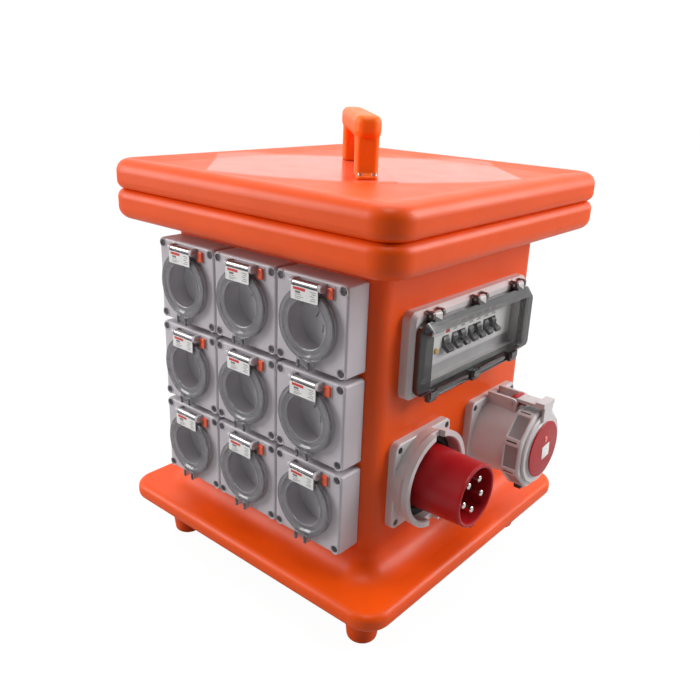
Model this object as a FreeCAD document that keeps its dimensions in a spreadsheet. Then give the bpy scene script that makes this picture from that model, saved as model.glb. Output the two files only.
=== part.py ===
import FreeCAD, Part
import Sketcher
import math
import os
import re

# Portable power distribution box: a moulded column on a footed base plate, a bolted lid with a
# carry handle, nine hinged-flap socket outlets, a breaker window, a plug inlet and a capped outlet.
# The origin is on the ground under the middle of the whole box, +Z up, sockets on the -Y side.

Vector = FreeCAD.Vector
Rotation = FreeCAD.Rotation

DIMENSIONS = {
    # column, base plate and lid slabs
    "column_x": -16.2, "column_half": 167, "column_corner": 22, "wall": 6, "floor_level": 66,
    "base_half": 222, "base_corner": 32, "base_low": 58, "base_high": 81, "base_edge": 9,
    "slab_half": 222.5, "slab_corner": 32, "slab_low": 455, "split_level": 491.5,
    "slab_high": 527, "slab_edge": 15, "split_edge": 10, "root_blend": 30, "neck_blend": 6,
    "dish_floor_half": 178, "dish_rim_half": 204, "dish_depth": 4, "lid_hollow": 20,
    "seal_inner": 181, "seal_outer": 187, "seal_depth": 3,
    # feet
    "foot_place": 165, "foot_low_radius": 18, "foot_high_radius": 24.5, "foot_round": 5,
    # carry handle
    "handle_half": 108, "handle_rise": 69, "handle_shift": -5, "grip_half_width": 15,
    "grip_thick": 25, "grip_corner": 9, "grip_round": 6, "leg_half_width": 12.5,
    "leg_length": 28, "lug_reach": 7, "lug_thick": 5, "lug_screw_out": 2.4,
    "lug_screw_across": 7.5,
    "lid_bolt_place": 199, "lid_bolt_radius": 3, "lid_bolt_head": 6, "lid_bolt_sink": 7,
    "lid_bolt_bite": 14,
    # socket housings and flaps
    "socket_pitch": 102, "row_pitch": 106.9, "middle_row": 280.7, "box_half": 50.5,
    "box_depth": 32, "box_round": 4, "collar_radius": 37, "collar_rise": 2, "bore_radius": 32,
    "socket_face": 12, "insert_gap": 0.2, "insert_back": 24, "cable_hole": 33,
    "hinge_up": 43, "hinge_out": 38, "hinge_pin": 1.5, "hinge_gap": 0.06, "barrel_radius": 3.6,
    "tab_half": 17.3, "ear_thick": 4, "side_gap": 0.5, "flap_radius": 40,
    "screw_place": 44, "screw_head": 3.4, "screw_shank": 2, "lamp_place": 28, "lamp_up": 39,
    "lamp_half": 4, "lamp_half_up": 6,
    # breaker window
    "window_level": 349, "frame_half": 126, "frame_half_up": 51, "frame_depth": 15,
    "frame_corner": 10, "window_half": 111, "window_half_up": 38, "mask_thick": 3,
    "slot_half": 106.4, "slot_half_up": 23.2, "cover_half": 121, "cover_low": 46,
    "cover_high": 40, "cover_gap": 0.5, "cover_depth": 16.5, "cover_wall": 3,
    "cover_bevel": 10, "knuckle_pitch": 91.5, "knuckle_half": 7, "knuckle_up": 45.5,
    "knuckle_out": 19.5, "knuckle_radius": 4,
    # devices on the rail
    "module": 17.7, "nose_out": 5, "nose_half_up": 22.5, "shoulder_in": 10,
    "device_back": 48, "device_half_up": 42, "hub_radius": 8, "hub_gap": 0.4,
    "lever_reach": 18, "lever_thick": 5, "lever_rest": 35, "button_radius": 3.5,
    "lever_narrow": 6, "lever_wide": 14, "rcd_lever_place": -46, "button_place": -64,
    "button_up": -8,
    # heavy-current inlet and outlet
    "device_level": 192, "device_offset": 80, "flange_half": 55, "flange_thick": 10,
    "flange_corner": 9, "flange_screw": 47, "wall_hole": 44,
    "sleeve_inner": 33.5, "sleeve_tip": 37.5, "sleeve_root": 40, "sleeve_out": 85,
    "pin_radius": 4, "pin_shank": 3.2, "pin_circle": 19.5, "pin_from": 34.05, "pin_out": 82,
    "cap_pin_up": 55, "cap_pin_out": 44, "cap_pin_radius": 2.5, "cap_radius": 44,
    "cap_back": 67, "cap_front": 84.5, "ring_back": 56, "ring_front": 81, "ring_flat": 52,
}

doc = FreeCAD.newDocument("DistributionBox")
sheet = doc.addObject("Spreadsheet::Sheet", "dims")
for row, (alias, number) in enumerate(DIMENSIONS.items(), start=1):
    sheet.set(f"A{row}", alias.replace("_", " "))
    sheet.set(f"B{row}", str(number))
    sheet.setAlias(f"B{row}", alias)
doc.recompute()

WORD = re.compile(r"[a-z_]+")
UP = Rotation()
OUT = Rotation(Vector(1, 0, 0), 90)         # local Z turned to -Y, out of a wall
ALONG = Rotation(Vector(0, 1, 0), 90)       # local Z turned to +X, along a wall
RIGHT_WALL = Rotation(Vector(0, 0, 1), 90)  # a piece drawn for the -Y wall, turned to the +X wall


def bound(text):
    """An expression with each dimension's name pointed at its cell."""
    return WORD.sub(lambda word: "dims." + word.group() if word.group() in DIMENSIONS
                    else word.group(), str(text))


def number(text):
    """The value that an expression has now, for choosing edges."""
    return float(sheet.evalExpression(bound(text)))


def bind(item, prop, text):
    item.setExpression(prop, bound(text))


def place(item, at, rotation=UP):
    """Put an object at a point given by three expressions."""
    item.Placement = FreeCAD.Placement(Vector(), rotation)
    for axis, text in zip("xyz", at):
        bind(item, "Placement.Base." + axis, text)


class Piece:
    """One sub-part, built as a PartDesign body."""

    def __init__(self, label):
        self.body = doc.addObject("PartDesign::Body", label)
        self.body.Label = label

    def primitive(self, kind, cut, at, rotation, **sizes):
        side = "Subtractive" if cut else "Additive"
        feature = self.body.newObject(f"PartDesign::{side}{kind}", kind)
        for prop, text in sizes.items():
            bind(feature, prop, text)
        place(feature, at, rotation)
        return feature

    def block(self, x, y, z, cut=False):
        """A box between three pairs of expressions."""
        spans = [f"({high}) - ({low})" for low, high in (x, y, z)]
        return self.primitive("Box", cut, (x[0], y[0], z[0]), UP,
                              Length=spans[0], Width=spans[1], Height=spans[2])

    def rod(self, radius, at, length, rotation=UP, cut=False):
        return self.primitive("Cylinder", cut, at, rotation, Radius=radius, Height=length)

    def cone(self, low_radius, high_radius, at, length, rotation=UP):
        return self.primitive("Cone", False, at, rotation,
                              Radius1=low_radius, Radius2=high_radius, Height=length)

    def dress(self, kind, prop, amount, along=None, on=(), test=None):
        """Fillet or chamfer the edges that run along an axis, lie on levels and pass a test."""
        doc.recompute()
        base = self.body.Tip
        names = []
        for index, edge in enumerate(base.Shape.Edges, start=1):
            box = edge.BoundBox
            low = (box.XMin, box.YMin, box.ZMin)
            high = (box.XMax, box.YMax, box.ZMax)
            if along is not None:
                others = [a for a in range(3) if a != along]
                if any(high[a] - low[a] > 0.01 for a in others):
                    continue
            if any(abs(low[a] - number(v)) > 0.01 or abs(high[a] - number(v)) > 0.01
                   for a, v in on):
                continue
            if test and not test(box.Center):
                continue
            names.append(f"Edge{index}")
        feature = self.body.newObject("PartDesign::" + kind, kind)
        feature.Base = (base, names)
        bind(feature, prop, amount)
        return feature

    def fillet(self, radius, **choice):
        return self.dress("Fillet", "Radius", radius, **choice)

    def chamfer(self, size, **choice):
        return self.dress("Chamfer", "Size", size, **choice)

    def sketch(self, level="0"):
        """An empty sketch on the body's XY plane, lifted to a level."""
        sketch = self.body.newObject("Sketcher::SketchObject", "Outline")
        plane = next(f for f in self.body.Origin.OriginFeatures if f.Role == "XY_Plane")
        sketch.AttachmentSupport = [(plane, "")]
        sketch.MapMode = "FlatFace"
        bind(sketch, "AttachmentOffset.Base.z", level)
        return sketch

    def rounded(self, x, y, z, corner, cut=False):
        """A pad or pocket of a rectangle with round corners, between three pairs of expressions."""
        sketch = self.sketch(z[1] if cut else z[0])
        left, right = number(x[0]), number(x[1])
        front, back = number(y[0]), number(y[1])
        bend = number(corner)
        sides = [((left + bend, front), (right - bend, front)), ((right, front + bend), (right, back - bend)),
                 ((right - bend, back), (left + bend, back)), ((left, back - bend), (left, front + bend))]
        centres = [(right - bend, front + bend), (right - bend, back - bend),
                   (left + bend, back - bend), (left + bend, front + bend)]
        for index, ((start, end), centre) in enumerate(zip(sides, centres)):
            sketch.addGeometry(Part.LineSegment(Vector(*start, 0), Vector(*end, 0)))
            circle = Part.Circle(Vector(*centre, 0), Vector(0, 0, 1), bend)
            first = math.radians(90 * index - 90)
            sketch.addGeometry(Part.ArcOfCircle(circle, first, first + math.pi / 2))
        for line in range(8):
            after = (line + 1) % 8
            sketch.addConstraint(Sketcher.Constraint("Tangent", line, 2, after, 1))
        for line, kind in ((0, "Horizontal"), (2, "Vertical"), (4, "Horizontal"), (6, "Vertical")):
            sketch.addConstraint(Sketcher.Constraint(kind, line))
        for arc in (3, 5, 7):
            sketch.addConstraint(Sketcher.Constraint("Equal", 1, arc))
        for name, kind, line, text in (("right", "DistanceX", 2, x[1]), ("left", "DistanceX", 6, x[0]),
                                       ("back", "DistanceY", 4, y[1]), ("front", "DistanceY", 0, y[0])):
            self.size(sketch, Sketcher.Constraint(kind, -1, 1, line, 1, number(text)), name, text)
        self.size(sketch, Sketcher.Constraint("Radius", 1, bend), "corner", corner)
        feature = self.body.newObject("PartDesign::Pocket" if cut else "PartDesign::Pad", "Prism")
        feature.Profile = sketch
        bind(feature, "Length", f"({z[1]}) - ({z[0]})")
        return feature

    @staticmethod
    def size(sketch, constraint, name, text):
        """Add a named dimension to a sketch and bind it to an expression."""
        sketch.renameConstraint(sketch.addConstraint(constraint), name)
        bind(sketch, "Constraints." + name, text)

    def revolve(self, points):
        """Turn a closed outline of (radius, y) expressions about the body's Y axis."""
        sketch = self.sketch()
        spots = [Vector(number(radius), number(y), 0) for radius, y in points]
        for start, end in zip(spots, spots[1:] + spots[:1]):
            sketch.addGeometry(Part.LineSegment(start, end))
        for line in range(len(points)):
            sketch.addConstraint(Sketcher.Constraint("Coincident", line, 2,
                                                     (line + 1) % len(points), 1))
        for line, (spot, texts) in enumerate(zip(spots, points)):
            for axis, value, text, origin in (("X", spot.x, texts[0], -2), ("Y", spot.y, texts[1], -1)):
                if abs(value) < 1e-9:
                    sketch.addConstraint(Sketcher.Constraint("PointOnObject", line, 1, origin))
                    continue
                self.size(sketch, Sketcher.Constraint("Distance" + axis, -1, 1, line, 1, value),
                          f"point{line}{axis}", text)
        feature = self.body.newObject("PartDesign::Revolution", "Revolution")
        feature.Profile = sketch
        feature.ReferenceAxis = (sketch, ["V_Axis"])
        feature.Angle = 360
        return feature

    def at(self, *spot, rotation=UP):
        place(self.body, spot, rotation)
        return self


def group(label, pieces, at=("0", "0", "0"), rotation=UP):
    """Several loose solids of one kind, kept as one sub-part."""
    compound = doc.addObject("Part::Compound", label)
    compound.Label = label
    compound.Links = [piece.body for piece in pieces]
    place(compound, at, rotation)
    return compound


def grid(places):
    return [(x, z) for z in places for x in places]


BOTH = ("-1", "1")
COLUMN = ("column_x", "0", "0")
SOCKETS = [(column, row) for row in (1, 0, -1) for column in (-1, 0, 1)]
LID_BOLTS = [(x, y) for x in (-1, 0, 1) for y in (-1, 0, 1) if x or y]
nodes = []


def square(piece, half, corner, low, high, cut=False):
    span = (f"-({half})", half)
    return piece.rounded(span, span, (low, high), corner, cut)


# --- enclosure ---------------------------------------------------------------------------------

def within(half):
    """Test for points inside a square of this half width."""
    limit = number(half) + 1
    return lambda c: abs(c.x) < limit and abs(c.y) < limit


def enclosure_body():
    piece = Piece("enclosure_body")
    near = within("column_half")
    square(piece, "base_half", "base_corner", "base_low", "base_high")
    piece.fillet("base_edge", on=((2, "base_low"),))
    piece.fillet("base_edge", on=((2, "base_high"),))
    square(piece, "column_half", "column_corner", "base_high - 5", "slab_low + 5")
    square(piece, "slab_half", "slab_corner", "slab_low", "split_level")
    piece.fillet("slab_edge", on=((2, "slab_low"),), test=lambda c: not near(c))
    piece.fillet("split_edge", on=((2, "split_level"),))
    piece.fillet("root_blend", on=((2, "base_high"),), test=near)
    piece.fillet("neck_blend", on=((2, "slab_low"),), test=near)
    square(piece, "column_half - wall", "column_corner - wall", "floor_level", "split_level + 1", cut=True)
    for column, row in SOCKETS:
        at = (f"{column} * socket_pitch", "1 + wall - column_half", f"middle_row + {row} * row_pitch")
        piece.rod("cable_hole", at, "wall + 2", OUT, cut=True)
    for side in BOTH:
        at = ("column_half - wall - 1", f"{side} * device_offset", "device_level")
        piece.rod("wall_hole", at, "wall + 2", ALONG, cut=True)
    piece.block(("column_half - wall - 1", "column_half + 1"), ("-window_half", "window_half"),
                ("window_level - window_half_up", "window_level + window_half_up"), cut=True)
    seal_channel(piece, cut=True)
    for x, y in LID_BOLTS:
        spot = (f"{x} * lid_bolt_place", f"{y} * lid_bolt_place")
        piece.rod("lid_bolt_radius", (*spot, "slab_low - 1"), "split_level - slab_low + 2", cut=True)
        piece.rod("lid_bolt_head", (*spot, "slab_low - 1"), "lid_bolt_sink + 1", cut=True)
    return piece.at(*COLUMN)


def seal_channel(piece, cut):
    """Four straight bars that make the square ring of the lid's seal."""
    levels = ("split_level - seal_depth", "split_level")
    for side in BOTH:
        span = sorted((f"{side} * seal_inner", f"{side} * seal_outer"), key=number)
        piece.block(span, ("-seal_outer", "seal_outer"), levels, cut)
        piece.block(("-seal_outer", "seal_outer"), span, levels, cut)


def lid_gasket():
    piece = Piece("lid_gasket")
    seal_channel(piece, cut=False)
    return piece.at(*COLUMN)


def dish(piece):
    """Shallow square dish with gently sloping sides in the top of the lid."""
    rim = "(dish_rim_half + (dish_rim_half - dish_floor_half) / dish_depth)"
    wedge = piece.primitive("Wedge", True, ("0", "0", "slab_high - dish_depth"),
                            Rotation(Vector(1, 0, 0), 90),
                            Xmin="-dish_floor_half", Xmax="dish_floor_half",
                            Ymin="0", Ymax="dish_depth + 1",
                            Zmin="-dish_floor_half", Zmax="dish_floor_half",
                            X2min=f"-{rim}", X2max=rim, Z2min=f"-{rim}", Z2max=rim)
    wedge.Label = "Dish"


def lid_cover():
    piece = Piece("lid_cover")
    square(piece, "slab_half", "slab_corner", "split_level", "slab_high")
    piece.fillet("slab_edge", on=((2, "slab_high"),))
    piece.fillet("split_edge", on=((2, "split_level"),))
    dish(piece)
    square(piece, "column_half - wall", "column_corner - wall", "split_level - 1",
           "split_level + lid_hollow", cut=True)
    for x, y in LID_BOLTS:
        spot = (f"{x} * lid_bolt_place", f"{y} * lid_bolt_place", "split_level - 1")
        piece.rod("lid_bolt_radius", spot, "lid_bolt_bite + 1", cut=True)
    for x, y in grid((-1, 1)):
        along = f"({x} * (handle_half + lug_screw_out))"
        across = f"(handle_shift + {y} * lug_screw_across)"
        spot = (f"({along} + {across}) / sqrt(2)", f"({across} - {along}) / sqrt(2)",
                "split_level + lid_hollow - 1")
        piece.rod("screw_shank", spot, "slab_high - split_level", cut=True)
    return piece.at(*COLUMN)


def foot(index, x, y):
    piece = Piece(f"foot_{index}")
    piece.cone("foot_low_radius", "foot_high_radius", ("0", "0", "0"), "base_low")
    piece.fillet("foot_round", on=((2, "0"),))
    return piece.at(f"column_x + {x} * foot_place", f"{y} * foot_place", "0")


def screw(head_radius, head_height, shank_radius, shank_length, at, rotation=UP):
    """A screw whose head stands on the point given, with a slot across its top."""
    piece = Piece("screw")
    piece.rod(head_radius, ("0", "0", "0"), head_height)
    piece.rod(shank_radius, ("0", "0", f"-({shank_length})"), shank_length)
    piece.block((f"-({head_radius})", head_radius), ("-0.45", "0.45"),
                (f"{head_height} - 1", f"{head_height} + 1"), cut=True)
    return piece.at(*at, rotation=rotation)


def lid_screws():
    flip = Rotation(Vector(1, 0, 0), 180)
    length = "split_level + lid_bolt_bite - slab_low - lid_bolt_sink"
    return group("lid_screws", [
        screw("lid_bolt_head - 0.5", "lid_bolt_sink - 1", "lid_bolt_radius", length,
              (f"{x} * lid_bolt_place", f"{y} * lid_bolt_place", "slab_low + lid_bolt_sink"), flip)
        for x, y in LID_BOLTS], COLUMN)


# --- carry handle, along the diagonal of the lid -------------------------------------------------

HANDLE_PLACE = ("column_x + handle_shift / sqrt(2)", "handle_shift / sqrt(2)",
                "slab_high - dish_depth")
DIAGONAL = Rotation(Vector(0, 0, 1), -45)


def carry_handle():
    piece = Piece("carry_handle")
    low = "handle_rise - grip_thick"
    piece.block(("-handle_half", "handle_half"), ("-grip_half_width", "grip_half_width"),
                (low, "handle_rise"))
    piece.fillet("grip_corner", along=1)
    side = number("grip_half_width")
    piece.fillet("grip_round", test=lambda c: abs(abs(c.y) - side) < 0.01)
    across = ("-leg_half_width", "leg_half_width")
    for x in BOTH:
        leg = sorted((f"{x} * (handle_half - 1.5)", f"{x} * (handle_half - leg_length)"), key=number)
        piece.block(leg, across, ("0", f"{low} + 12"))
        lug = sorted((f"{x} * (handle_half - 3)", f"{x} * (handle_half + lug_reach)"), key=number)
        piece.block(lug, ("0.5 - leg_half_width", "leg_half_width - 0.5"), ("0", "lug_thick"))
    for x, y in grid((-1, 1)):
        spot = (f"{x} * (handle_half + lug_screw_out)", f"{y} * lug_screw_across", "-1")
        piece.rod("screw_shank", spot, "lug_thick + 2", cut=True)
    return piece.at(*HANDLE_PLACE, rotation=DIAGONAL)


def handle_screws():
    return group("handle_screws", [
        screw("screw_head", "2.4", "screw_shank", "lug_thick + 8",
              (f"{x} * (handle_half + lug_screw_out)", f"{y} * lug_screw_across", "lug_thick"))
        for x, y in grid((-1, 1))], HANDLE_PLACE, DIAGONAL)


# --- socket outlets ------------------------------------------------------------------------------

def socket_place(column, row):
    return (f"column_x + {column} * socket_pitch", "-column_half", f"middle_row + {row} * row_pitch")


def socket_housing(index, column, row):
    piece = Piece(f"socket_housing_{index}")
    half = ("-box_half", "box_half")
    piece.block(half, ("-box_depth", "0"), half)
    piece.fillet("box_round", along=1)
    piece.fillet("box_round - 1", on=((1, "-box_depth"),))
    piece.rod("collar_radius", ("0", "-box_depth + 1", "0"), "collar_rise + 1", OUT)
    piece.rod("bore_radius", ("0", "1", "0"), "box_depth + collar_rise + 2", OUT, cut=True)
    ear = ("tab_half + side_gap", "tab_half + side_gap + ear_thick")
    for x in BOTH:
        span = sorted((f"{x} * ({ear[0]})", f"{x} * ({ear[1]})"), key=number)
        piece.block(span, ("-hinge_out - 4.5", "1 - box_depth"), ("hinge_up - 4.5", "hinge_up + 4.5"))
    piece.fillet("3.5", along=0, on=((1, "-hinge_out - 4.5"),))
    piece.block(("-4", "4"), ("-box_depth - 4", "1 - box_depth"), ("-49", "-45.5"))
    piece.rod("hinge_pin", ("-box_half", "-hinge_out", "hinge_up"), "2 * box_half", ALONG, cut=True)
    for x, z in grid((-1, 1)):
        spot = (f"{x} * screw_place", f"{z} * screw_place")
        piece.rod("screw_head + 1", (spot[0], "3 - box_depth", spot[1]), "4", OUT, cut=True)
        piece.rod("screw_shank", (spot[0], "-4", spot[1]), "box_depth", OUT, cut=True)
    piece.block(("lamp_place - lamp_half", "lamp_place + lamp_half"), ("-box_depth - 1", "2 - box_depth"),
                ("lamp_up - lamp_half_up", "lamp_up + lamp_half_up"), cut=True)
    return piece.at(*socket_place(column, row))


def socket_flap(index, column, row):
    piece = Piece(f"socket_flap_{index}")
    piece.revolve([("0", "-35.4"), ("flap_radius - 6", "-35.4"), ("flap_radius - 6", "-34.5"),
                   ("flap_radius", "-34.5"), ("flap_radius", "-38.4"), ("flap_radius - 1.6", "-40"),
                   ("flap_radius - 5", "-40"), ("flap_radius - 7", "-38"), ("0", "-38")])
    tab = ("-tab_half", "tab_half")
    piece.block(tab, ("-hinge_out - 2.8", "-hinge_out + 2.8"), ("hinge_up - 14", "hinge_up"))
    piece.rod("barrel_radius", ("-tab_half", "-hinge_out", "hinge_up"), "2 * tab_half", ALONG)
    for x in BOTH:
        lobe = sorted((f"{x} * 4.6", f"{x} * 10"), key=number)
        piece.block(lobe, ("-42", "-34.5"), ("-48.5", "-37"))
    piece.fillet("2.6", along=1, test=lambda c: c.z < -48)
    piece.rod("hinge_pin + hinge_gap", ("-tab_half - 1", "-hinge_out", "hinge_up"),
              "2 * tab_half + 2", ALONG, cut=True)
    return piece.at(*socket_place(column, row))


def socket_insert(column, row):
    """Contact block with two slanted flat slots above an upright one."""
    piece = Piece("socket_insert")
    piece.rod("bore_radius - insert_gap", ("0", "insert_back", "0"), "insert_back + socket_face", OUT)
    for x, z, lean in ((-7.9, 4.6, 30), (7.9, 4.6, -30), (0, -10.3, 0)):
        turn = Rotation(Vector(0, 1, 0), lean)
        corner = turn.multVec(Vector(-1.2, 0, -4.6)) + Vector(x, 0, z)
        piece.primitive("Box", True, (corner.x, "-socket_face - 1", corner.z), turn,
                        Length="2.4", Width="18", Height="9.2")
    return piece.at(*socket_place(column, row))


def flap_pin(column, row):
    piece = Piece("flap_pin")
    half = "(tab_half + side_gap + ear_thick)"
    piece.rod("hinge_pin", (f"-{half}", "-hinge_out", "hinge_up"), f"2 * {half}", ALONG)
    return piece.at(*socket_place(column, row))


def socket_lamp(column, row):
    piece = Piece("socket_lamp")
    piece.block(("lamp_place - lamp_half", "lamp_place + lamp_half"), ("-box_depth - 1.4", "2 - box_depth"),
                ("lamp_up - lamp_half_up", "lamp_up + lamp_half_up"))
    piece.fillet("1", on=((1, "-box_depth - 1.4"),))
    return piece.at(*socket_place(column, row))


def housing_screws():
    screws = []
    for column, row in SOCKETS:
        x, y, z = socket_place(column, row)
        for across, up in grid((-1, 1)):
            spot = (f"{x} + {across} * screw_place", "3 - column_half - box_depth",
                    f"{z} + {up} * screw_place")
            screws.append(screw("screw_head", "2.2", "screw_shank", "box_depth - 7", spot, OUT))
    return group("housing_screws", screws)


# --- breaker window on the +X wall ---------------------------------------------------------------

WINDOW_PLACE = ("column_x + column_half", "0", "window_level")
KNUCKLES = (-1, 0, 1)


def window_frame():
    piece = Piece("window_frame")
    piece.block(("-frame_half", "frame_half"), ("-frame_depth", "0"), ("-frame_half_up", "frame_half_up"))
    piece.fillet("frame_corner", along=1)
    piece.chamfer("5", along=0, on=((1, "-frame_depth"), (2, "frame_half_up")))
    piece.block(("-window_half", "window_half"), ("-frame_depth - 1", "-mask_thick"),
                ("-window_half_up", "window_half_up"), cut=True)
    piece.block(("-slot_half", "slot_half"), ("-mask_thick - 1", "1"), ("-slot_half_up", "slot_half_up"),
                cut=True)
    for knuckle in KNUCKLES:
        for x in BOTH:
            span = sorted((f"{knuckle} * knuckle_pitch + {x} * (knuckle_half + side_gap)",
                           f"{knuckle} * knuckle_pitch + {x} * (knuckle_half + side_gap + ear_thick)"),
                          key=number)
            piece.block(span, ("-knuckle_out - 4.5", "2 - frame_depth"),
                        ("knuckle_up - 4.5", "knuckle_up + 5"))
    piece.fillet("3", along=0, on=((1, "-knuckle_out - 4.5"),))
    piece.rod("hinge_pin", ("-frame_half", "-knuckle_out", "knuckle_up"), "2 * frame_half", ALONG, cut=True)
    return piece.at(*WINDOW_PLACE, rotation=RIGHT_WALL)


def window_cover():
    piece = Piece("window_cover")
    back = "-frame_depth - cover_gap"
    front = "-frame_depth - cover_gap - cover_depth"
    piece.block(("-cover_half", "cover_half"), (front, back), ("-cover_low", "cover_high"))
    piece.fillet("cover_bevel + 3", along=1)
    piece.chamfer("cover_bevel", on=((1, front),))
    piece.block(("-cover_half + cover_wall", "cover_half - cover_wall"), (f"{back} - 4.5", f"{back} + 1"),
                ("-cover_low + cover_wall", "cover_high - cover_wall"), cut=True)
    inset = "(cover_wall + cover_bevel + 1)"
    piece.block((f"-cover_half + {inset}", f"cover_half - {inset}"), (f"{front} + cover_wall", f"{back} - 4"),
                (f"-cover_low + {inset}", f"cover_high - {inset}"), cut=True)
    for knuckle in KNUCKLES:
        span = (f"{knuckle} * knuckle_pitch - knuckle_half", f"{knuckle} * knuckle_pitch + knuckle_half")
        piece.block(span, ("-knuckle_out - knuckle_radius", "-knuckle_out + 3"),
                    ("cover_high - 2.5", "knuckle_up"))
        piece.rod("knuckle_radius", (span[0], "-knuckle_out", "knuckle_up"), "2 * knuckle_half", ALONG)
        piece.block(span, (f"{front} + 6", back), ("-cover_low - 5", "-cover_low + 2.5"))
    piece.rod("hinge_pin + hinge_gap", ("-cover_half", "-knuckle_out", "knuckle_up"),
              "2 * cover_half", ALONG, cut=True)
    return piece.at(*WINDOW_PLACE, rotation=RIGHT_WALL)


def window_pin(knuckle):
    piece = Piece("window_pin")
    half = "(knuckle_half + side_gap + ear_thick)"
    piece.rod("hinge_pin", (f"{knuckle} * knuckle_pitch - {half}", "-knuckle_out", "knuckle_up"),
              f"2 * {half}", ALONG)
    return piece


def din_rail():
    """Top-hat rail on two stand-off blocks that bear on the inside of the wall."""
    piece = Piece("din_rail")
    long = ("-130", "130")
    piece.block(long, ("device_back + 6.5", "device_back + 7.5"), ("-12.5", "12.5"))
    for z in BOTH:
        web = sorted((f"{z} * 11.5", f"{z} * 12.5"), key=number)
        lip = sorted((f"{z} * 11.5", f"{z} * 17.5"), key=number)
        piece.block(long, ("device_back", "device_back + 7"), web)
        piece.block(long, ("device_back", "device_back + 1"), lip)
    for x in BOTH:
        post = sorted((f"{x} * 116", f"{x} * 128"), key=number)
        piece.block(post, ("wall", "device_back + 0.5"), ("-17", "17"))
    return piece.at(*WINDOW_PLACE, rotation=RIGHT_WALL)


def rail_device(label, first_module, last_module):
    """A stepped case: a narrow nose that shows through the mask and a tall body on the rail."""
    piece = Piece(label)
    span = (f"({first_module}) * module", f"({last_module}) * module")
    piece.block(span, ("-nose_out", "shoulder_in + 1"), ("-nose_half_up", "nose_half_up"))
    piece.block(span, ("shoulder_in", "device_back"), ("-device_half_up", "device_half_up"))
    return piece


def lever_recess(piece, centre, half_width):
    piece.rod("hub_radius + hub_gap", (f"{centre} - {half_width} - hub_gap", "0", "0"),
              f"2 * ({half_width} + hub_gap)", ALONG, cut=True)


def rocking_lever(label, centre, half_width):
    """A hub across the case with a flat arm, tipped down to its rest position."""
    piece = Piece(label)
    piece.rod("hub_radius", (f"-({half_width})", "0", "0"), f"2 * ({half_width})", ALONG)
    piece.block((f"-({half_width})", half_width), ("-lever_reach", "0"),
                ("-lever_thick / 2", "lever_thick / 2"))
    piece.fillet("1.5", along=0, on=((1, "-lever_reach"),))
    tip = Rotation(Vector(1, 0, 0), number("lever_rest"))
    return piece.at("column_x + column_half", centre, "window_level",
                    rotation=RIGHT_WALL.multiply(tip))


def rcd_body():
    piece = rail_device("rcd_body", -6, -2)
    lever_recess(piece, "rcd_lever_place", "lever_narrow")
    piece.rod("button_radius + hub_gap", ("button_place", "3", "button_up"), "nose_out + 4", OUT, cut=True)
    return piece.at(*WINDOW_PLACE, rotation=RIGHT_WALL)


def rcd_test_button():
    piece = Piece("rcd_test_button")
    piece.rod("button_radius", ("button_place", "1", "button_up"), "nose_out + 3", OUT)
    piece.fillet("0.8", on=((1, "-nose_out - 2"),))
    return piece.at(*WINDOW_PLACE, rotation=RIGHT_WALL)


def breaker(index):
    first = 2 * index - 4
    piece = rail_device(f"breaker_{index}", first, first + 2)
    lever_recess(piece, f"({first + 1} * module)", "lever_wide")
    return piece.at(*WINDOW_PLACE, rotation=RIGHT_WALL)


def rail_blank():
    piece = rail_device("rail_blank", 4, 6)
    return piece.at(*WINDOW_PLACE, rotation=RIGHT_WALL)


# --- heavy-current inlet and outlet on the +X wall -----------------------------------------------

INLET_PLACE = ("column_x + column_half", "-device_offset", "device_level")
OUTLET_PLACE = ("column_x + column_half", "device_offset", "device_level")
PIN_ANGLES = [270 + 72 * turn for turn in range(5)]


def flange(piece):
    half = ("-flange_half", "flange_half")
    piece.block(half, ("-flange_thick", "0"), half)
    piece.fillet("flange_corner", along=1)
    piece.fillet("2", on=((1, "-flange_thick"),))


def flange_holes(piece):
    for x, z in grid((-1, 1)):
        spot = (f"{x} * flange_screw", f"{z} * flange_screw")
        piece.rod("screw_head + 0.8", (spot[0], "2.5 - flange_thick", spot[1]), "4", OUT, cut=True)
        piece.rod("screw_shank", (spot[0], "1", spot[1]), "flange_thick + 2", OUT, cut=True)


def pin_spot(angle):
    return (f"pin_circle * cos({angle})", f"pin_circle * sin({angle})")


def inlet_housing():
    """Flange with a deep locking collar, broken by two bayonet gaps."""
    piece = Piece("inlet_housing")
    flange(piece)
    piece.revolve([("52", "-9"), ("56.5", "-9"), ("58", "-20"), ("60", "-24"), ("60", "-32"),
                   ("53.5", "-32"), ("52", "-30")])
    for x, z in ((0, 1), (0, -1)):
        piece.block(("-9", "9"), ("-33", "-24"), (f"{z} * 56 - 8", f"{z} * 56 + 8"), cut=True)
    for lean in (-60, 60, 120, 240):
        turn = Rotation(Vector(0, 1, 0), lean)
        corner = turn.multVec(Vector(-12, 0, 57.2))
        piece.primitive("Box", True, (corner.x, "-22", corner.z), turn,
                        Length="24", Width="11", Height="6")
    piece.rod("sleeve_root - 2", ("0", "1", "0"), "flange_thick + 2", OUT, cut=True)
    flange_holes(piece)
    return piece.at(*INLET_PLACE, rotation=RIGHT_WALL)


def inlet_sleeve():
    piece = Piece("inlet_sleeve")
    piece.revolve([("sleeve_inner", "-flange_thick"), ("sleeve_root", "-flange_thick"),
                   ("sleeve_root", "-24"), ("sleeve_tip", "1 - sleeve_out"),
                   ("sleeve_tip - 1", "-sleeve_out"), ("sleeve_inner", "-sleeve_out")])
    piece.block(("-3.5", "3.5"), ("-sleeve_out", "-26"), ("-sleeve_tip - 3", "-sleeve_tip + 1.5"))
    return piece.at(*INLET_PLACE, rotation=RIGHT_WALL)


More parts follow.
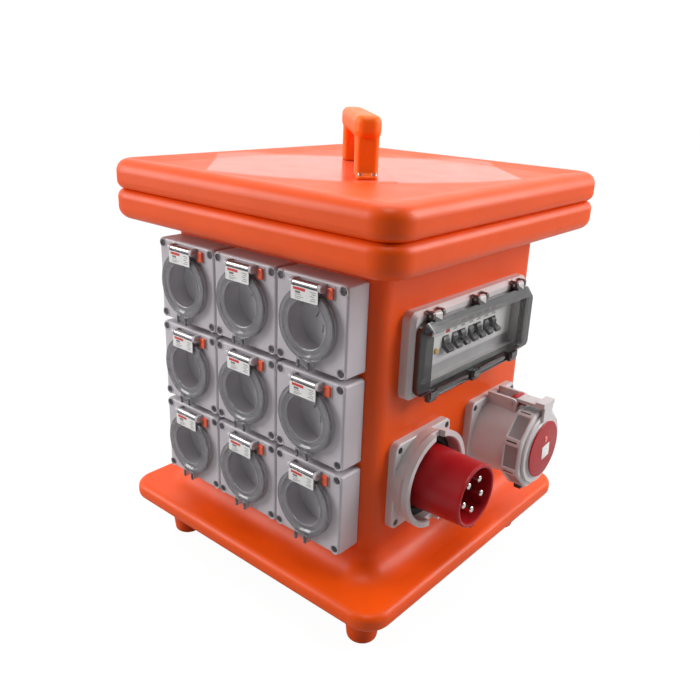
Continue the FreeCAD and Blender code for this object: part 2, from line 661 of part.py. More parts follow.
def inlet_insert():
    piece = Piece("inlet_insert")
    piece.rod("sleeve_root - 2.2", ("0", "28", "0"), "28 + flange_thick", OUT)
    piece.rod("sleeve_inner - 0.2", ("0", "-5", "0"), "29", OUT)
    for angle in PIN_ANGLES:
        x, z = pin_spot(angle)
        piece.rod("pin_shank + 0.05", (x, "29", z), "70", OUT, cut=True)
    return piece.at(*INLET_PLACE, rotation=RIGHT_WALL)


def inlet_pin(angle):
    piece = Piece("inlet_pin")
    x, z = pin_spot(angle)
    piece.rod("pin_shank", (x, "34", z), "35 + pin_from", OUT)
    piece.rod("pin_radius", (x, "-pin_from", z), "pin_out - pin_from", OUT)
    piece.fillet("1.6", on=((1, "-pin_out"),))
    return piece


def outlet_housing():
    piece = Piece("outlet_housing")
    flange(piece)
    piece.cone("50", "45", ("0", "-9.5", "0"), "44.5", OUT)
    piece.rod("42", ("0", "-50", "0"), "16", OUT)
    ear = ("11.6", "16")
    for x in BOTH:
        span = sorted((f"{x} * {ear[0]}", f"{x} * {ear[1]}"), key=number)
        piece.block(span, ("-cap_pin_out - 6", "-flange_thick + 1"), ("38", "cap_pin_up + 6"))
    piece.fillet("5", along=0, on=((1, "-cap_pin_out - 6"), (2, "cap_pin_up + 6")))
    piece.rod("cap_pin_radius", ("-20", "-cap_pin_out", "cap_pin_up"), "40", ALONG, cut=True)
    piece.rod("36", ("0", "1", "0"), "70", OUT, cut=True)
    flange_holes(piece)
    return piece.at(*OUTLET_PLACE, rotation=RIGHT_WALL)


def outlet_insert():
    piece = Piece("outlet_insert")
    piece.rod("35.8", ("0", "28", "0"), "68", OUT)
    for angle in PIN_ANGLES:
        x, z = pin_spot(angle)
        piece.rod("pin_radius + 1.3", (x, "20", z), "62", OUT, cut=True)
    return piece.at(*OUTLET_PLACE, rotation=RIGHT_WALL)


def outlet_contact(angle):
    """A sleeve contact, open towards the plug."""
    piece = Piece("outlet_contact")
    x, z = pin_spot(angle)
    piece.rod("pin_radius + 1.2", (x, "20", z), "56", OUT)
    piece.rod("pin_radius + 0.2", (x, "-2", z), "36", OUT, cut=True)
    return piece


def outlet_hinge_pin():
    piece = Piece("outlet_hinge_pin")
    piece.rod("cap_pin_radius", ("-17.5", "-cap_pin_out", "cap_pin_up"), "35", ALONG)
    return piece.at(*OUTLET_PLACE, rotation=RIGHT_WALL)


def outlet_cap():
    piece = Piece("outlet_cap")
    piece.revolve([("38", "-cap_back"), ("cap_radius", "-cap_back"), ("cap_radius", "-ring_front - 0.4"),
                   ("cap_radius + 3", "-ring_front - 0.4"), ("cap_radius + 3", "-cap_front + 1"),
                   ("cap_radius + 2", "-cap_front"), ("39", "-cap_front"), ("37", "-cap_front - 1.5"),
                   ("20", "-cap_front - 3"), ("0", "-cap_front - 3.4"), ("0", "-cap_front + 3"),
                   ("38", "-cap_front + 3")])
    return piece.at(*OUTLET_PLACE, rotation=RIGHT_WALL)


def outlet_cap_arm():
    """Hinge arm that reaches over the locking ring to the front of the cap."""
    piece = Piece("outlet_cap_arm")
    piece.rod("6.5", ("-11.1", "-cap_pin_out", "cap_pin_up"), "22.2", ALONG)
    arm = ("-11.1", "11.1")
    piece.block(arm, ("-cap_front - 3", "-cap_pin_out"), ("57.6", "cap_pin_up + 6.5"))
    piece.block(arm, ("-cap_front - 3", "-cap_front"), ("40", "cap_pin_up + 6.5"))
    piece.block(("-14", "14"), ("-cap_front - 3", "-cap_front + 9"), ("60", "66"))
    piece.rod("cap_pin_radius + hinge_gap", ("-12", "-cap_pin_out", "cap_pin_up"), "24", ALONG, cut=True)
    return piece.at(*OUTLET_PLACE, rotation=RIGHT_WALL)


def outlet_cap_ring():
    """Eight-sided bayonet ring that turns on the cap, with a grip at its foot."""
    piece = Piece("outlet_cap_ring")
    turn = OUT.multiply(Rotation(Vector(0, 0, 1), 22.5))
    prism = piece.primitive("Prism", False, ("0", "-ring_back", "0"), turn,
                            Circumradius="ring_flat / cos(22.5)", Height="ring_front - ring_back")
    prism.Polygon = 8
    piece.fillet("6", along=1)
    piece.block(("-9", "9"), ("-ring_back - 12", "-ring_back - 1"), ("-ring_flat - 13", "-ring_flat + 3"))
    piece.rod("cap_radius + 0.4", ("0", "0", "0"), "100", OUT, cut=True)
    return piece.at(*OUTLET_PLACE, rotation=RIGHT_WALL)


def device_screws():
    screws = []
    for side in BOTH:
        for x, z in grid((-1, 1)):
            spot = (f"{side} * device_offset + {x} * flange_screw", "2.5 - flange_thick",
                    f"{z} * flange_screw")
            screws.append(screw("screw_head", "2.2", "screw_shank", "flange_thick - 3", spot, OUT))
    return group("device_screws", screws, ("column_x + column_half", "0", "device_level"), RIGHT_WALL)


def terminal_block():
    """Distribution terminals screwed to the floor of the column."""
    piece = Piece("terminal_block")
    piece.block(("-70", "70"), ("-22", "22"), ("0", "34"))
    for index in range(-3, 4):
        piece.block((f"{index} * 19 - 6", f"{index} * 19 + 6"), ("-23", "-8"), ("18", "35"), cut=True)
    return piece.at("column_x", "0", "floor_level")


def build():
    found = [enclosure_body(), lid_gasket(), lid_cover(), lid_screws(), carry_handle(), handle_screws()]
    for index, (x, y) in enumerate(grid((-1, 1)), start=1):
        found.append(foot(index, x, y))
    for index, (column, row) in enumerate(SOCKETS, start=1):
        found.append(socket_housing(index, column, row))
        found.append(socket_flap(index, column, row))
    found.append(group("socket_inserts", [socket_insert(*spot) for spot in SOCKETS]))
    found.append(group("flap_pins", [flap_pin(*spot) for spot in SOCKETS]))
    found.append(group("socket_lamps", [socket_lamp(*spot) for spot in SOCKETS]))
    found.append(housing_screws())
    found += [window_frame(), window_cover()]
    found.append(group("window_pins", [window_pin(k) for k in KNUCKLES], WINDOW_PLACE, RIGHT_WALL))
    found += [din_rail(), rcd_body(), rcd_test_button(), rail_blank()]
    found.append(rocking_lever("rcd_lever", "rcd_lever_place", "lever_narrow"))
    for index in (1, 2, 3):
        found.append(breaker(index))
        found.append(rocking_lever(f"breaker_toggle_{index}", f"{2 * index - 3} * module", "lever_wide"))
    found += [inlet_housing(), inlet_sleeve(), inlet_insert()]
    found.append(group("inlet_pins", [inlet_pin(a) for a in PIN_ANGLES], INLET_PLACE, RIGHT_WALL))
    found += [outlet_housing(), outlet_insert(), outlet_hinge_pin()]
    found.append(group("outlet_contacts", [outlet_contact(a) for a in PIN_ANGLES], OUTLET_PLACE,
                       RIGHT_WALL))
    found += [outlet_cap(), outlet_cap_arm(), outlet_cap_ring(), device_screws(), terminal_block()]
    return [item.body if isinstance(item, Piece) else item for item in found]


parts = build()
doc.recompute()
failed = [item.Label for item in doc.Objects if {"Invalid", "Error"} & set(item.State)]
failed += [part.Label for part in parts if part.Shape.isNull() or not part.Shape.isValid()]
if failed:
    raise RuntimeError("not built: " + ", ".join(failed))
os.makedirs("parts", exist_ok=True)
for part in parts:
    part.Shape.exportStep(f"parts/{part.Label}.step")
    print(f"{part.Label}: {len(part.Shape.Solids)} solids, {part.Shape.Volume / 1000:.1f} cm3")
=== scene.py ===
import math

import bmesh
import bpy
from mathutils import Matrix, Vector


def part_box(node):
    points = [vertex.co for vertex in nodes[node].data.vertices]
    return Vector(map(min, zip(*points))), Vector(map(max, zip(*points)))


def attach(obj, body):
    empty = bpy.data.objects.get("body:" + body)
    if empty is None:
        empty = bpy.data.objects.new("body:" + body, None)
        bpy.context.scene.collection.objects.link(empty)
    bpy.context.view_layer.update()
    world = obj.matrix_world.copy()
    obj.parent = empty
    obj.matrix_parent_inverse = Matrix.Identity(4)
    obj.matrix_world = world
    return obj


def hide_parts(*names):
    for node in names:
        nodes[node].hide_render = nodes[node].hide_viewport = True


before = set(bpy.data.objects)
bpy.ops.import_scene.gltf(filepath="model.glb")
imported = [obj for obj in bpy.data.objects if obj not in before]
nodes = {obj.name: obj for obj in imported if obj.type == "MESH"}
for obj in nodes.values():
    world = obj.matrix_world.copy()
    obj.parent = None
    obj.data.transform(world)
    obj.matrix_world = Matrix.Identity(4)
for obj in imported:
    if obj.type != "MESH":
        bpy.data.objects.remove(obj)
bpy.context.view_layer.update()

# Looks of the portable power distribution box. Lengths in the drawing helpers are millimetres.

MM = 0.001

# --- where things are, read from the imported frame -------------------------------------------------


def middle(node):
    low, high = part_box(node)
    return (low + high) / 2


def wall_place(origin, along, up):
    """Drawing space on a wall: X along it, Y up, Z out of it, in millimetres."""
    out = Vector(along).cross(Vector(up))
    turn = Matrix((along, up, out)).transposed().to_4x4()
    return Matrix.Translation(origin) @ turn @ Matrix.Scale(MM, 4)


OUTLETS = range(1, 10)
UPWARD = (0, 0, 1)
FRONT = (1, 0, 0)
RIGHT = (0, 1, 0)
wall_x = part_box("inlet_housing")[0].x
wall_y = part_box("socket_housing_1")[1].y


def socket_place(index):
    low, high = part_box(f"socket_housing_{index}")
    return wall_place(((low.x + high.x) / 2, wall_y, (low.z + high.z) / 2), FRONT, UPWARD)


inlet_middle = middle("inlet_insert")
inlet_place = wall_place((wall_x, inlet_middle.y, inlet_middle.z), RIGHT, UPWARD)
outlet_middle = middle("outlet_insert")
outlet_place = wall_place((wall_x, outlet_middle.y, outlet_middle.z), RIGHT, UPWARD)
window_middle = middle("window_frame")
window_level = (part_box("rcd_body")[0].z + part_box("rcd_body")[1].z) / 2
window_place = wall_place((wall_x, window_middle.y, window_level), RIGHT, UPWARD)

# --- materials -------------------------------------------------------------------------------------


def node_material(name):
    material = bpy.data.materials.new(name)
    material.use_nodes = True
    tree = material.node_tree
    return material, tree, tree.nodes["Principled BSDF"]


def noise(tree, scale, detail):
    """A noise in object space."""
    coords = tree.nodes.new("ShaderNodeTexCoord")
    texture = tree.nodes.new("ShaderNodeTexNoise")
    texture.inputs["Scale"].default_value = scale
    texture.inputs["Detail"].default_value = detail
    tree.links.new(coords.outputs["Object"], texture.inputs["Vector"])
    return texture.outputs["Fac"]


def ramp(tree, source, low, high, colours):
    """Colours or greys between two levels of a factor."""
    item = tree.nodes.new("ShaderNodeValToRGB")
    stops = item.color_ramp.elements
    stops[0].position, stops[1].position = low, high
    for stop, colour in zip(stops, colours):
        stop.color = (*colour, 1) if isinstance(colour, tuple) else (colour, colour, colour, 1)
    tree.links.new(source, item.inputs["Fac"])
    return item.outputs["Color"]


def bump(tree, shader, layers):
    """Stacked bumps, each (height output, strength, distance in metres)."""
    previous = None
    for height, strength, distance in layers:
        item = tree.nodes.new("ShaderNodeBump")
        item.inputs["Strength"].default_value = strength
        item.inputs["Distance"].default_value = distance
        tree.links.new(height, item.inputs["Height"])
        if previous:
            tree.links.new(previous, item.inputs["Normal"])
        previous = item.outputs["Normal"]
    tree.links.new(previous, shader.inputs["Normal"])


def shade(colour, factor):
    return tuple(min(1.0, c * factor) for c in colour)


def plastic(name, colour, roughness, spread=0.1, patch=14.0, grain=1400.0, grain_depth=0.00005,
            wave=0.0, coat=0.0, specular=0.5, metal=0.0, rough_spread=0.08):
    """Moulded plastic, rubber or metal: clouded colour, uneven gloss and fine grain."""
    material, tree, shader = node_material(name)
    dark = shade(colour, 1 - spread)
    light = shade(colour, 1 + spread)
    clouds = noise(tree, patch, 4.0)
    tree.links.new(ramp(tree, clouds, 0.3, 0.7, (dark, light)), shader.inputs["Base Color"])
    gloss = noise(tree, patch * 3, 5.0)
    grey = ramp(tree, gloss, 0.25, 0.75, (roughness - rough_spread, roughness + rough_spread))
    tree.links.new(grey, shader.inputs["Roughness"])
    shader.inputs["Metallic"].default_value = metal
    shader.inputs["Specular IOR Level"].default_value = specular
    shader.inputs["Coat Weight"].default_value = coat
    shader.inputs["Coat Roughness"].default_value = 0.12
    layers = [(noise(tree, grain, 2.0), 0.35, grain_depth)]
    if wave:
        layers.insert(0, (noise(tree, 22.0, 2.0), 0.5, wave))
    bump(tree, shader, layers)
    return material


def smoked(name, colour, alpha, roughness):
    """Clear tinted plastic: shows what is behind, with a glossy moulded surface."""
    material, tree, shader = node_material(name)
    clouds = noise(tree, 30.0, 2.0)
    tones = (shade(colour, 0.9), shade(colour, 1.1))
    tree.links.new(ramp(tree, clouds, 0.35, 0.65, tones), shader.inputs["Base Color"])
    shader.inputs["Alpha"].default_value = alpha
    shader.inputs["Specular IOR Level"].default_value = 0.8
    shader.inputs["Coat Weight"].default_value = 0.6
    shader.inputs["Coat Roughness"].default_value = 0.05
    scuffs = noise(tree, 160.0, 3.0)
    tree.links.new(ramp(tree, scuffs, 0.3, 0.7, (roughness, roughness + 0.1)), shader.inputs["Roughness"])
    bump(tree, shader, [(noise(tree, 60.0, 2.0), 0.2, 0.00006)])
    return material


ORANGE = (0.84, 0.084, 0.003)
HANDLE_ORANGE = (1.0, 0.16, 0.006)
GREY = (0.52, 0.485, 0.515)
FLANGE_GREY = (0.64, 0.60, 0.60)
RED = (0.40, 0.008, 0.012)

body_orange = plastic("orange_polyethylene", ORANGE, 0.4, spread=0.06, patch=9.0, grain=900.0,
                      grain_depth=0.00006, wave=0.0004, specular=0.28, rough_spread=0.06)
handle_orange = plastic("orange_handle_plastic", HANDLE_ORANGE, 0.42, spread=0.05, patch=20.0,
                        grain=1100.0, wave=0.0001, specular=0.3)
housing_grey = plastic("grey_housing_plastic", GREY, 0.36, spread=0.05, patch=20.0, grain=2200.0)
flange_grey = plastic("grey_flange_plastic", FLANGE_GREY, 0.34, spread=0.05, patch=20.0, grain=2200.0)
insert_grey = plastic("grey_insert_plastic", (0.74, 0.72, 0.75), 0.4, spread=0.06, patch=30.0,
                      grain=2000.0)
mask_grey = plastic("grey_mask_plastic", (0.5, 0.495, 0.5), 0.42, spread=0.08, patch=30.0,
                    grain=2000.0)
device_white = plastic("device_white_plastic", (0.84, 0.83, 0.81), 0.4, spread=0.04, patch=40.0,
                       grain=2500.0)
# Darker grey for the cap ring's sunk panels: painted shade.
ring_panel_shade = plastic("grey_ring_panel_shade", (0.3, 0.28, 0.28), 0.42, spread=0.06, patch=30.0, grain=2000.0)
# Dark moulded plastic, also used as painted shade for the notches on the cap ring's corners.
dark_plastic_and_notch_shade = plastic("dark_moulded_plastic_and_notch_shade", (0.03, 0.03, 0.032), 0.38, spread=0.2, patch=40.0,
                       grain=1800.0)
ear_brown = plastic("dark_hinge_ear_plastic", (0.075, 0.05, 0.045), 0.3, spread=0.2, patch=60.0,
                    grain=1800.0, coat=0.3)
black_rubber = plastic("black_rubber", (0.012, 0.012, 0.013), 0.62, spread=0.25, patch=60.0,
                       grain=1500.0, grain_depth=0.0001)
red_gloss = plastic("red_moulded_plastic", RED, 0.34, spread=0.07, patch=16.0, grain=1600.0,
                    specular=0.3, wave=0.0001)
lamp_red = plastic("orange_red_lamp_lens", (0.95, 0.11, 0.03), 0.22, spread=0.12, patch=150.0,
                   grain=1500.0, coat=0.6)
label_red = plastic("label_red_print", (0.62, 0.035, 0.03), 0.4, spread=0.1, patch=120.0, grain=2500.0)
label_white = plastic("label_white_foil", (0.78, 0.77, 0.76), 0.32, spread=0.04, patch=90.0,
                      grain=2500.0, grain_depth=0.00002)
label_ink = plastic("label_grey_ink", (0.16, 0.155, 0.16), 0.45, spread=0.2, patch=200.0, grain=2500.0)
button_yellow = plastic("test_button_plastic", (0.72, 0.42, 0.05), 0.35, spread=0.06, patch=150.0,
                        grain=2000.0)
screw_dark = plastic("dark_screw_steel", (0.11, 0.105, 0.11), 0.34, spread=0.25, patch=300.0,
                     grain=3000.0, metal=0.9)
zinc_steel = plastic("zinc_plated_steel", (0.55, 0.55, 0.54), 0.3, spread=0.12, patch=120.0,
                     grain=2600.0, metal=1.0)
pin_metal = plastic("nickel_plated_pins", (0.78, 0.76, 0.72), 0.2, spread=0.06, patch=140.0,
                    grain=2600.0, metal=1.0)
brass = plastic("brass_contacts", (0.62, 0.43, 0.17), 0.28, spread=0.1, patch=140.0, grain=2600.0,
                metal=1.0)
smoke_flap = smoked("smoked_clear_flap", (0.26, 0.25, 0.27), 0.08, 0.1)
smoke_band = smoked("smoked_flap_band", (0.19, 0.182, 0.195), 0.5, 0.16)
clear_bead = smoked("clear_flap_bead", (0.42, 0.41, 0.43), 0.45, 0.1)
smoke_cover = smoked("smoked_clear_cover", (0.12, 0.12, 0.125), 0.06, 0.07)
# Near-black smoke: painted shade on the window cover's sides and bevels, and the colour of the dark latch
# strip and latch knobs.
dark_smoke_and_edge_shade = smoked("smoked_dark_and_edge_shade", (0.016, 0.015, 0.016), 0.88, 0.1)
barrel_grey = plastic("hinge_sleeve_plastic", (0.34, 0.32, 0.325), 0.18, spread=0.15, patch=60.0,
                      grain=2200.0, coat=0.6, metal=0.75)
clear_latch = smoked("clear_latch_plastic", (0.42, 0.42, 0.44), 0.5, 0.07)

ZONE_TURN = math.radians(45)
ZONE_BOW = 1.8
ZONE_FRONT = (0.136, 0.118)
ZONE_BACK = (-0.155, -0.115)
ZONE_SIDES = (0.189, 0.185)
ZONE_SQUARE = (0.203, 0.193)
ZONE_POLISH = 0.22
# Share of pale pink mixed into the lid's colour in the zone: a painted reflection.
ZONE_REFLECTION_TINT = 0.16


def lid_plastic():
    """Lid plastic, glossier in a bowed zone across the diagonal, with a paler painted reflection mixed
    into its colour there. Lengths in metres.
    """
    material = plastic("orange_lid_painted_reflection", ORANGE, 0.4, spread=0.06, patch=9.0, grain=900.0,
                       grain_depth=0.00005, wave=0.0003, specular=0.3, rough_spread=0.05)
    tree = material.node_tree
    shader = tree.nodes["Principled BSDF"]

    def math_node(operation, first, second):
        item = tree.nodes.new("ShaderNodeMath")
        item.operation = operation
        for socket, value in zip(item.inputs, (first, second)):
            if isinstance(value, float):
                socket.default_value = value
            else:
                tree.links.new(value, socket)
        return item.outputs["Value"]

    def fade(source, low, high):
        item = tree.nodes.new("ShaderNodeMapRange")
        item.interpolation_type = "SMOOTHSTEP"
        item.inputs["From Min"].default_value = low
        item.inputs["From Max"].default_value = high
        tree.links.new(source, item.inputs["Value"])
        return item.outputs["Result"]

    coords = tree.nodes.new("ShaderNodeTexCoord")
    mapping = tree.nodes.new("ShaderNodeMapping")
    centre = nodes["lid_cover"].matrix_world.inverted() @ middle("lid_cover")
    turned = Matrix.Rotation(ZONE_TURN, 3, "Z") @ centre
    mapping.inputs["Rotation"].default_value = (0, 0, ZONE_TURN)
    mapping.inputs["Location"].default_value = -turned
    tree.links.new(coords.outputs["Object"], mapping.inputs["Vector"])
    split = tree.nodes.new("ShaderNodeSeparateXYZ")
    tree.links.new(mapping.outputs["Vector"], split.inputs["Vector"])
    along, across = split.outputs["X"], split.outputs["Y"]
    bow = math_node("MULTIPLY", math_node("MULTIPLY", across, across), ZONE_BOW)
    front = fade(math_node("ADD", along, bow), *ZONE_FRONT)
    back = fade(along, *ZONE_BACK)
    sides = fade(math_node("ABSOLUTE", across, 0.0), *ZONE_SIDES)
    straight = tree.nodes.new("ShaderNodeSeparateXYZ")
    tree.links.new(coords.outputs["Object"], straight.inputs["Vector"])
    reach_x = math_node("ABSOLUTE", math_node("SUBTRACT", straight.outputs["X"], centre.x), 0.0)
    reach_y = math_node("ABSOLUTE", math_node("SUBTRACT", straight.outputs["Y"], centre.y), 0.0)
    inside = fade(math_node("MAXIMUM", reach_x, reach_y), *ZONE_SQUARE)
    ends = math_node("MULTIPLY", front, back)
    zone = math_node("MULTIPLY", ends, math_node("MULTIPLY", sides, inside))

    plain = shader.inputs["Roughness"].links[0].from_socket
    polish = math_node("MULTIPLY", zone, ZONE_POLISH)
    tree.links.new(math_node("SUBTRACT", plain, polish), shader.inputs["Roughness"])
    # Painted reflection: inside the bowed zone the colour is mixed towards pale pink, standing in for the
    # studio's reflection on the lid.
    reflection_tint = tree.nodes.new("ShaderNodeMix")
    reflection_tint.data_type = "RGBA"
    tree.links.new(math_node("MULTIPLY", zone, ZONE_REFLECTION_TINT), reflection_tint.inputs["Factor"])
    tree.links.new(shader.inputs["Base Color"].links[0].from_socket, reflection_tint.inputs[6])
    reflection_tint.inputs[7].default_value = (0.95, 0.42, 0.38, 1)
    tree.links.new(reflection_tint.outputs[2], shader.inputs["Base Color"])
    return material


lid_orange = lid_plastic()
# Dark orange for the painted shadow along the lid fold's crease.
painted_crease_shadow = plastic("orange_crease_shadow", (0.3, 0.025, 0.004), 0.6, spread=0.1, patch=60.0,
                        specular=0.15)
CAD_LOOKS = {
    "enclosure_body": body_orange, "lid_cover": lid_orange, "carry_handle": handle_orange,
    "lid_gasket": black_rubber, "lid_screws": zinc_steel, "handle_screws": zinc_steel,
    "socket_inserts": insert_grey, "flap_pins": zinc_steel, "socket_lamps": lamp_red,
    "housing_screws": screw_dark, "window_frame": flange_grey, "window_cover": smoke_cover,
    "window_pins": zinc_steel, "din_rail": zinc_steel, "rcd_body": device_white,
    "rcd_test_button": button_yellow, "rail_blank": device_white, "rcd_lever": dark_plastic_and_notch_shade,
    "inlet_housing": flange_grey, "inlet_sleeve": red_gloss, "inlet_insert": dark_plastic_and_notch_shade,
    "inlet_pins": pin_metal, "outlet_housing": flange_grey, "outlet_insert": red_gloss,
    "outlet_hinge_pin": zinc_steel, "outlet_contacts": brass, "outlet_cap": flange_grey,
    "outlet_cap_arm": flange_grey, "outlet_cap_ring": flange_grey, "device_screws": screw_dark,
    "terminal_block": dark_plastic_and_notch_shade,
}
for name, item in nodes.items():
    if name.startswith("foot_"):
        look = body_orange
    elif name.startswith("socket_housing_"):
        look = housing_grey
    elif name.startswith("socket_flap_"):
        look = smoke_flap
    elif name.startswith("breaker_toggle_"):
        look = dark_plastic_and_notch_shade
    elif name.startswith("breaker_"):
        look = device_white
    else:
        look = CAD_LOOKS[name]
    item.data.materials.clear()
    item.data.materials.append(look)


def paint(node, look, place, test):
    """Give a CAD node's faces a second material where a point in a drawing space passes a test."""
    data = nodes[node].data
    data.materials.append(look)
    inward = place.inverted()
    index = len(data.materials) - 1
    for polygon in data.polygons:
        if test(inward @ polygon.center):
            polygon.material_index = index


KNUCKLES = (-91.5, 0, 91.5)
KNUCKLE_HALF = 7.5
KNUCKLE_FOOT = 41.5
FRAME_FACE = 15.2


def on_knuckle(spot):
    return any(abs(spot.x - k) < KNUCKLE_HALF for k in KNUCKLES)


paint("window_frame", ear_brown, window_place, lambda c: c.z > FRAME_FACE and c.y > 40)
paint("window_frame", mask_grey, window_place,
      lambda c: c.z < 3.5 and abs(c.x) < 112 and abs(c.y) < 39)
# Painted shade: the cover's side walls and bevels take the near-black, nearly opaque smoke, standing in
# for the shade on the cover's sides.
paint("window_cover", dark_smoke_and_edge_shade, window_place,
      lambda c: c.z < 31 and (abs(c.x) > 108 or abs(c.y) > 30) and c.y <= KNUCKLE_FOOT)
paint("window_cover", flange_grey, window_place, lambda c: c.y > KNUCKLE_FOOT and on_knuckle(c))
paint("window_frame", ear_brown, window_place, lambda c: c.z > FRAME_FACE and c.y < -47)
for index in OUTLETS:
    paint(f"socket_flap_{index}", clear_latch, socket_place(index),
          lambda c: c.y < -38 and abs(c.x) < 10.5)

# --- drawing helpers -------------------------------------------------------------------------------


def rounded(half_x, half_y, radius, steps=5, centre=(0, 0)):
    """Outline of a rectangle with rounded corners, anticlockwise."""
    points = []
    for sx, sy, start in ((1, 1, 0), (-1, 1, 90), (-1, -1, 180), (1, -1, 270)):
        for i in range(steps + 1):
            angle = math.radians(start + 90 * i / steps)
            points.append((centre[0] + sx * (half_x - radius) + radius * math.cos(angle),
                           centre[1] + sy * (half_y - radius) + radius * math.sin(angle)))
    return points


class Drawing:
    """A mesh put together in millimetres in a drawing space."""

    def __init__(self):
        self.mesh = bmesh.new()

    def extrude(self, outline, low, high, bevel=0.0, slot=0, segments=2, turn=Matrix()):
        """A plate with this outline between two heights, its rims rounded."""
        part = bmesh.new()
        foot = part.faces.new([part.verts.new((x, y, low)) for x, y in outline])
        made = bmesh.ops.extrude_face_region(part, geom=[foot])
        top = [v for v in made["geom"] if isinstance(v, bmesh.types.BMVert)]
        bmesh.ops.translate(part, verts=top, vec=(0, 0, high - low))
        bmesh.ops.recalc_face_normals(part, faces=part.faces)
        if bevel:
            rims = [e for e in part.edges
                    if abs(e.verts[0].co.z - e.verts[1].co.z) < 1e-6]
            bmesh.ops.bevel(part, geom=rims, offset=bevel, segments=segments, affect="EDGES",
                            profile=0.5, clamp_overlap=True)
        self.take(part, slot, turn)

    def lathe(self, profile, slot=0, steps=64, turn=Matrix(), start=0.0, sweep=360.0):
        """A profile of (radius, height) points turned round Z; closed on itself."""
        part = bmesh.new()
        whole = sweep >= 360
        count = steps if whole else steps + 1
        rows = []
        for i in range(count):
            angle = math.radians(start + sweep * i / steps)
            rows.append([part.verts.new((r * math.cos(angle), r * math.sin(angle), z))
                         for r, z in profile])
        size = len(profile)
        for i in range(steps):
            here, there = rows[i], rows[(i + 1) % count]
            for j in range(size):
                k = (j + 1) % size
                part.faces.new((here[j], there[j], there[k], here[k]))
        if not whole:
            part.faces.new(rows[0])
            part.faces.new(rows[-1])
        bmesh.ops.remove_doubles(part, verts=part.verts, dist=1e-5)
        bmesh.ops.recalc_face_normals(part, faces=part.faces)
        self.take(part, slot, turn)

    def border(self, outer, inner, low, high):
        """A raised border between two outlines with as many points each."""
        part = bmesh.new()
        loops = [[part.verts.new((x, y, level)) for x, y in outline]
                 for outline, level in ((outer, low), (outer, high), (inner, high), (inner, low))]
        for a in range(4):
            first, second = loops[a], loops[(a + 1) % 4]
            for i in range(len(first)):
                j = (i + 1) % len(first)
                part.faces.new((first[i], first[j], second[j], second[i]))
        self.take(part)

    def take(self, part, slot=0, turn=Matrix()):
        """Add a part's faces, moved by a matrix and given a material slot."""
        bmesh.ops.transform(part, matrix=turn, verts=part.verts)
        copied = {v: self.mesh.verts.new(v.co) for v in part.verts}
        for face in part.faces:
            fresh = self.mesh.faces.new([copied[v] for v in face.verts])
            fresh.material_index = slot or face.material_index
            fresh.smooth = True
        part.free()

    def finish(self, name, place, body, *looks, slot=None, sharp=35.0):
        """The object, in the row frame, riding on a body."""
        bmesh.ops.transform(self.mesh, matrix=place, verts=self.mesh.verts)
        bmesh.ops.recalc_face_normals(self.mesh, faces=self.mesh.faces)
        limit = math.radians(sharp)
        for edge in self.mesh.edges:
            if len(edge.link_faces) == 2 and edge.calc_face_angle(0) > limit:
                edge.smooth = False
        data = bpy.data.meshes.new(name)
        self.mesh.to_mesh(data)
        self.mesh.free()
        for look in looks:
            data.materials.append(look)
        item = bpy.data.objects.new(name, data)
        bpy.context.scene.collection.objects.link(item)
        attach(item, body)
        return item


def apply_modifiers(item):
    """Replace the object's mesh with its modified mesh."""
    graph = bpy.context.evaluated_depsgraph_get()
    baked = bpy.data.meshes.new_from_object(item.evaluated_get(graph))
    item.modifiers.clear()
    item.data = baked


ALONG = Matrix.Rotation(math.radians(90), 4, "Y")
AXIS = 0.001

# --- carry handle ----------------------------------------------------------------------------------

handle_low, handle_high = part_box("carry_handle")
handle_middle = (handle_low + handle_high) / 2
handle_place = (Matrix.Translation((handle_middle.x, handle_middle.y, handle_low.z))
                @ Matrix.Rotation(math.radians(-45), 4, "Z") @ Matrix.Scale(MM, 4))
HANDLE_HALF = 108
HANDLE_RISE = 69
FOLD_RISE = 1.3
SIDEWAYS = Matrix.Rotation(math.radians(90), 4, "X")


def handle():
    """Grip with bulging ends on two legs, fused and smoothed as one moulding."""
    bow = Drawing()
    leg_out, leg_in = HANDLE_HALF - 3.5, HANDLE_HALF - 29
    arch = [(-leg_in - 1, 0), (-leg_in, 26), (-leg_in + 3, 35), (-leg_in + 9, 41),
            (-leg_in + 18, 44)]
    outline = [(-leg_out - 1, 0), *arch, *[(-x, z) for x, z in reversed(arch)], (leg_out + 1, 0),
               (leg_out, 20), (leg_out, 60), (-leg_out, 60), (-leg_out, 20)]
    bow.extrude(outline, -13.2, 13.2, bevel=5.5, segments=4, turn=SIDEWAYS)
    bow.extrude(rounded(HANDLE_HALF - 0.2, 15.2, 12, 6), 43, HANDLE_RISE, bevel=8, segments=5)
    for side in (-1, 1):
        bow.extrude(rounded(9, 12.4, 4, 4, centre=(side * (HANDLE_HALF - 2), 0)), 0, 5, bevel=1.4)
    item = bow.finish("handle_moulding", handle_place, "root", handle_orange, slot="orange_handle")
    remesh = item.modifiers.new("fuse", "REMESH")
    remesh.mode = "VOXEL"
    remesh.voxel_size = 0.0014
    remesh.use_smooth_shade = True
    soften = item.modifiers.new("soften", "SMOOTH")
    soften.factor = 0.5
    soften.iterations = 6
    apply_modifiers(item)
    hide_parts("carry_handle")


